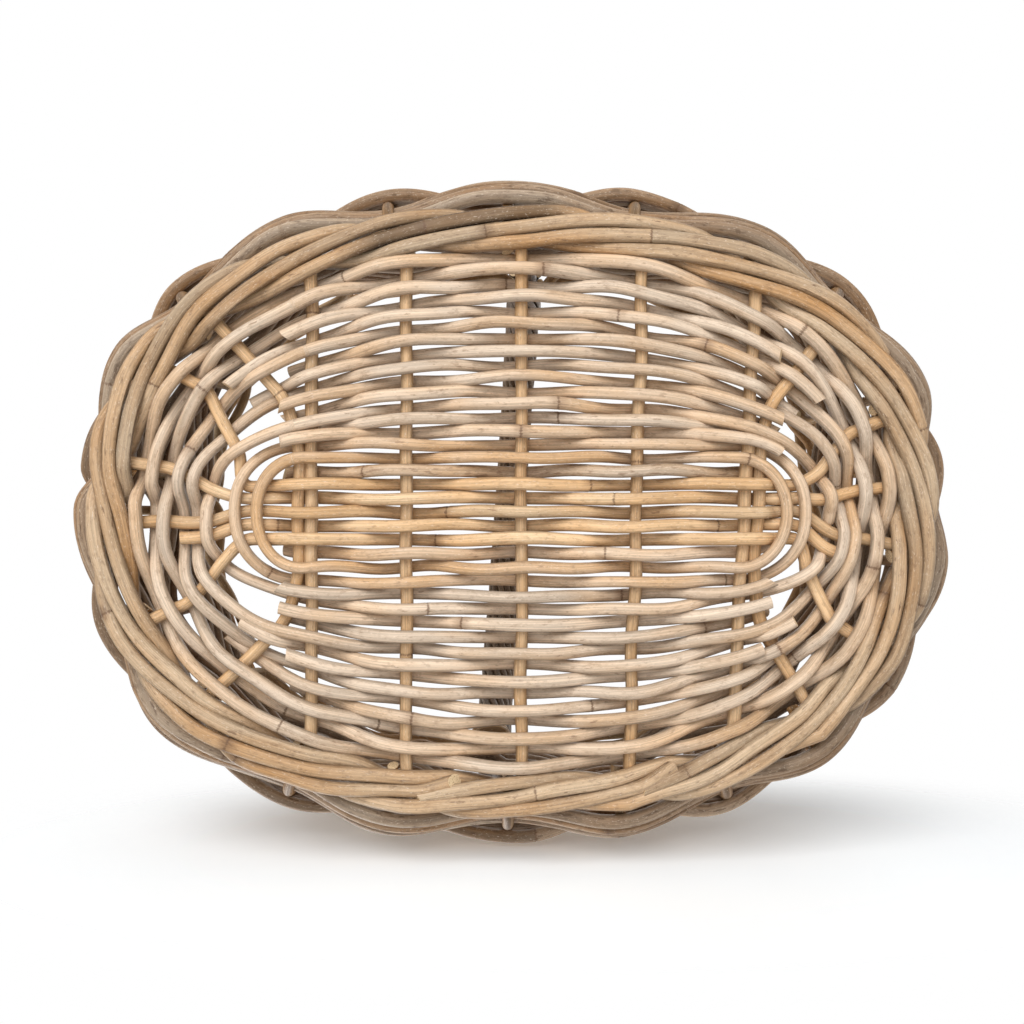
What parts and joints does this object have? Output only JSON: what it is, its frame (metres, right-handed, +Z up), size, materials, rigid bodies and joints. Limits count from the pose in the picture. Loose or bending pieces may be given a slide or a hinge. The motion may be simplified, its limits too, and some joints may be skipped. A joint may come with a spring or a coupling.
{
  "type": "oval rattan basket",
  "caption": "Oval basket of woven rattan rods with an open woven base, scalloped wall bands, a rolled border and a fixed roped arch handle across the middle.",
  "frame": {"origin": "middle of the basket's footprint, on the surface that the foot wale stands on", "axes": "+X along the oval, +Y across it in the plane of the handle, +Z up to the handle"},
  "size_m": [0.499, 0.3846, 0.344],
  "materials": {
    "stick_rattan": "honey rattan rods, satin",
    "loop_rattan": "pale grey-beige rattan rods with brown scars, satin",
    "wale_rattan": "honey to grey rattan rods, satin",
    "stake_rattan": "tan rattan rods, satin",
    "wall_rattan": "grey-brown rattan rods, satin",
    "handle_rattan": "dark grey-brown rattan, satin"
  },
  "bodies": {
    "root": {"base_cross_stick_1": "stick_rattan", "base_cross_stick_2": "stick_rattan", "base_cross_stick_3": "stick_rattan", "base_cross_stick_4": "stick_rattan", "base_cross_stick_5": "stick_rattan", "base_cross_stick_6": "stick_rattan", "base_cross_stick_7": "stick_rattan", "base_long_stick_1": "stick_rattan", "base_long_stick_2": "stick_rattan", "base_long_stick_3": "stick_rattan", "base_long_stick_4": "stick_rattan", "base_long_stick_5": "stick_rattan", "base_loop_1": "loop_rattan", "base_loop_2": "loop_rattan", "base_loop_3": "loop_rattan", "base_loop_4": "loop_rattan", "base_loop_5": "loop_rattan", "base_loop_6": "loop_rattan", "base_loop_7": "loop_rattan", "base_loop_8": "loop_rattan", "base_packing_near": "loop_rattan", "base_packing_far": "loop_rattan", "foot_wale_rod_1": "wale_rattan", "foot_wale_rod_2": "wale_rattan", "foot_wale_rod_3": "wale_rattan", "foot_wale_rod_4": "wale_rattan", "side_stake_1": "stake_rattan", "side_stake_2": "stake_rattan", "side_stake_3": "stake_rattan", "side_stake_4": "stake_rattan", "side_stake_5": "stake_rattan", "side_stake_6": "stake_rattan", "side_stake_7": "stake_rattan", "side_stake_8": "stake_rattan", "side_stake_9": "stake_rattan", "side_stake_10": "stake_rattan", "side_stake_11": "stake_rattan", "side_stake_12": "stake_rattan", "side_stake_13": "stake_rattan", "side_stake_14": "stake_rattan", "side_stake_15": "stake_rattan", "side_stake_16": "stake_rattan", "side_stake_17": "stake_rattan", "side_stake_18": "stake_rattan", "side_stake_19": "stake_rattan", "side_stake_20": "stake_rattan", "side_stake_21": "stake_rattan", "side_stake_22": "stake_rattan", "wall_band_1": "wall_rattan", "wall_band_2": "wall_rattan", "wall_band_3": "wall_rattan", "wall_band_4": "wall_rattan", "wall_band_5": "wall_rattan", "handle_bow": "handle_rattan", "handle_rope": "handle_rattan"}
  },
  "joints": []
}
